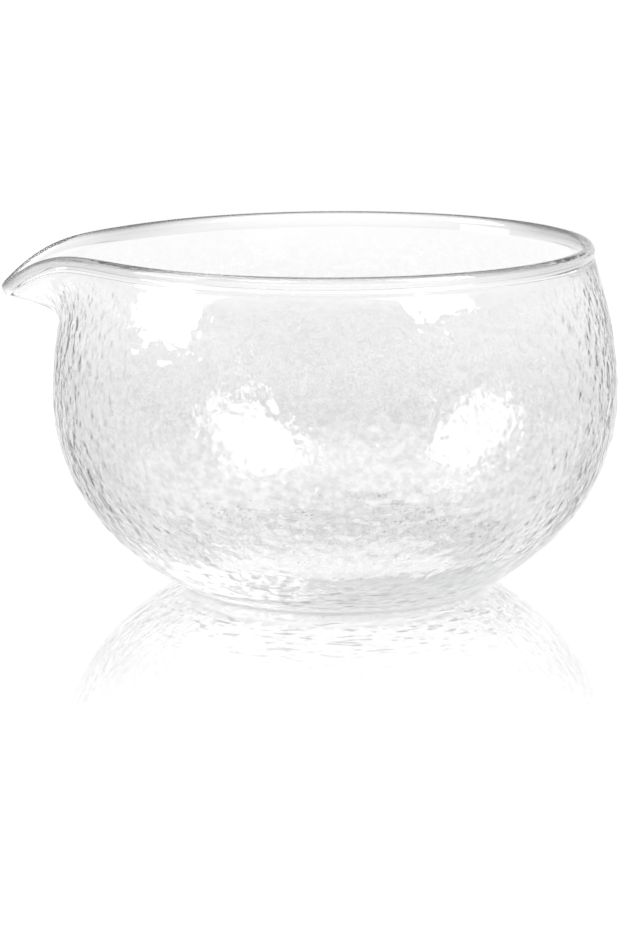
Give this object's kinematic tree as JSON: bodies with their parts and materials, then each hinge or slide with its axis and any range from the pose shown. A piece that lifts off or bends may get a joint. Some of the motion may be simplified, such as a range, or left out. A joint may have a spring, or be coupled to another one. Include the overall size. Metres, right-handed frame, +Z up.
{
  "type": "spouted bowl",
  "caption": "Clear hammered glass bowl with a rounded body, flat foot, smooth thickened lip and a pulled pouring spout, for whisking and pouring tea.",
  "frame": {"origin": "centre of the flat underside, on the axis of the round body", "axes": "+Z up, out of the mouth; the spout points to -X; +Y completes the right-handed frame"},
  "size_m": [0.1345, 0.1238, 0.0752],
  "materials": {
    "glass": "clear, hammered outside, smooth lip"
  },
  "bodies": {
    "root": {"glass_bowl": "glass"}
  },
  "joints": []
}
